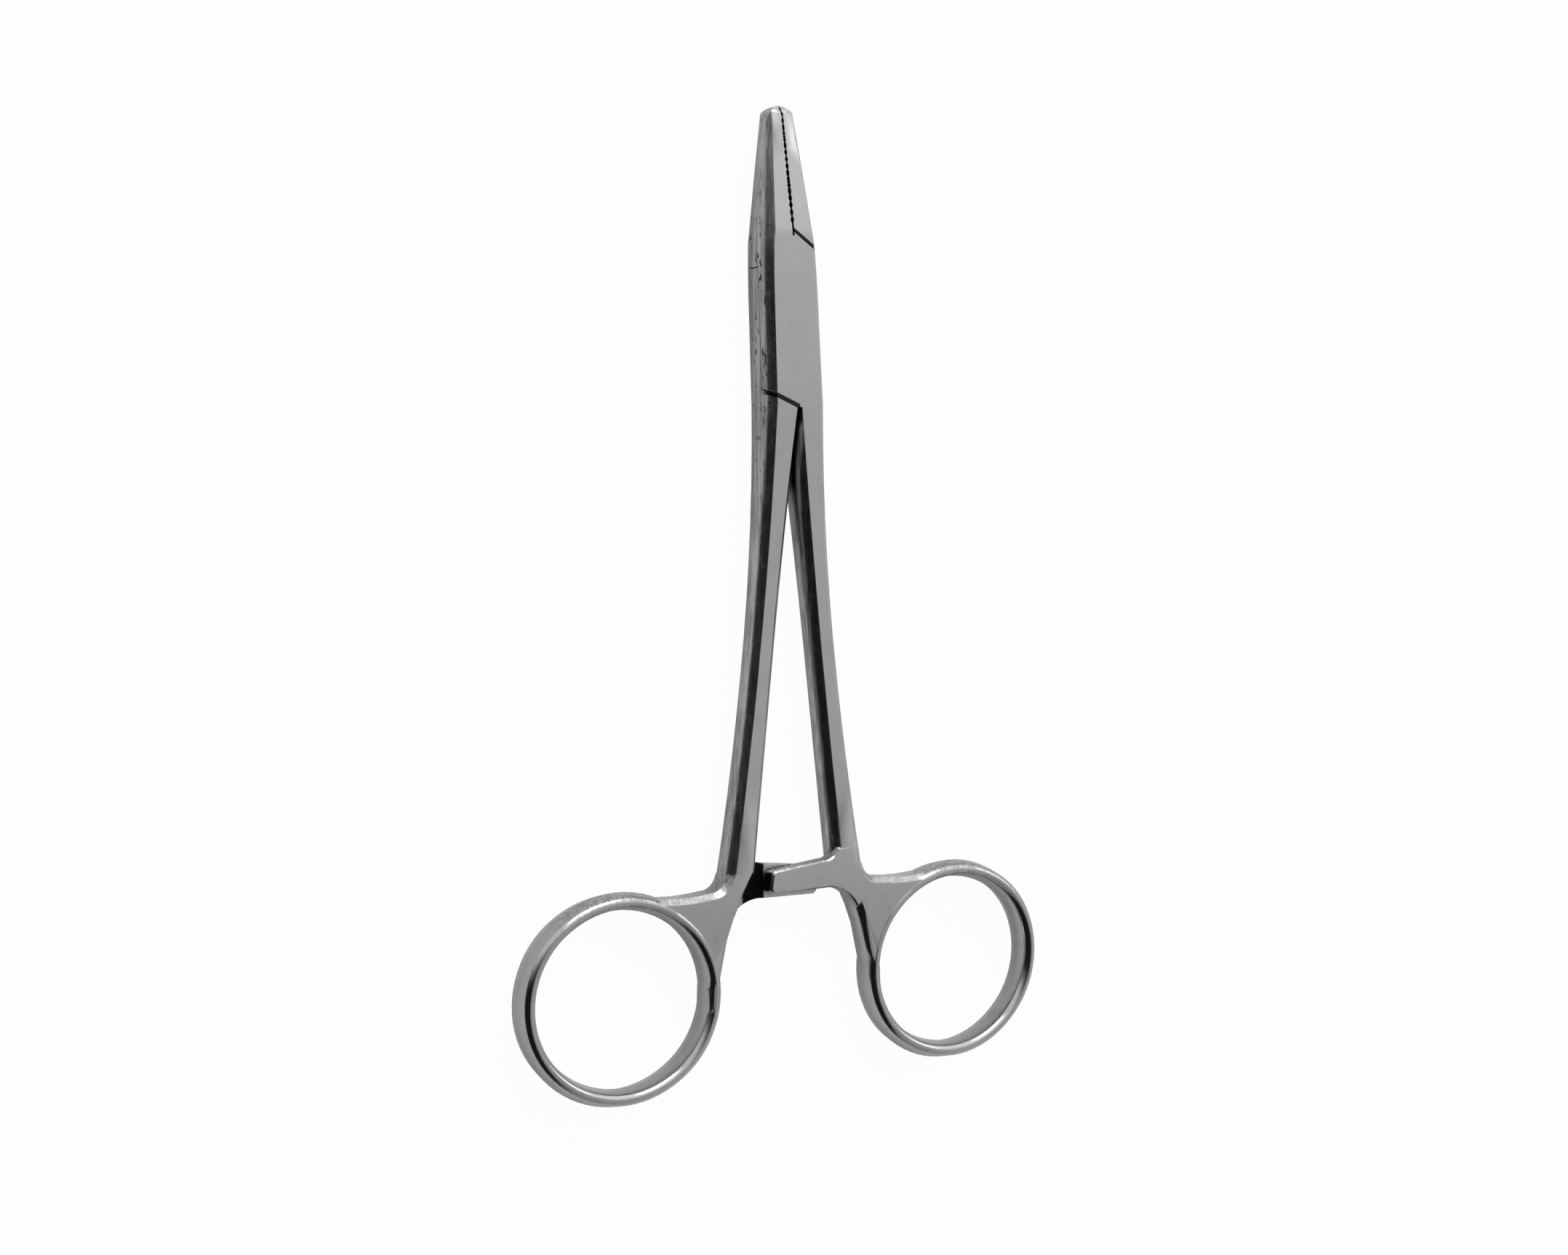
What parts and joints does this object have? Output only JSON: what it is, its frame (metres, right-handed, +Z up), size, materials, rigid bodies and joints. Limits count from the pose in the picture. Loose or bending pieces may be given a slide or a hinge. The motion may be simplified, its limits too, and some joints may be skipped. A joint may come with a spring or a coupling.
{
  "type": "needle holder",
  "caption": "Box-lock surgical needle holder with cross-cut jaws, ratchet arms and oval finger rings, hinged at the lock so it opens and closes.",
  "frame": {"origin": "on the pivot pin's axis, at the underside of the box lock, which rests on the table", "axes": "+Y along the middle of the shanks towards the jaw tips, +Z up along the pivot pin, +X to the right seen from above"},
  "size_m": [0.0896, 0.14, 0.0065],
  "materials": {
    "satin_steel": "satin ground stainless steel, polished at the finger rings",
    "pin_steel": "stainless rivet ground flush with the lock"
  },
  "bodies": {
    "box_side": {"box_half": "satin_steel", "pivot_pin": "pin_steel"},
    "tongue_side": {"tongue_half": "satin_steel"}
  },
  "joints": [
    {"name": "lock_pivot", "type": "hinge", "parent": "box_side", "child": "tongue_side", "pos_m": [0, 0, 0.00325], "axis": [0, 0, -1], "range_deg": [0, 35]}
  ]
}
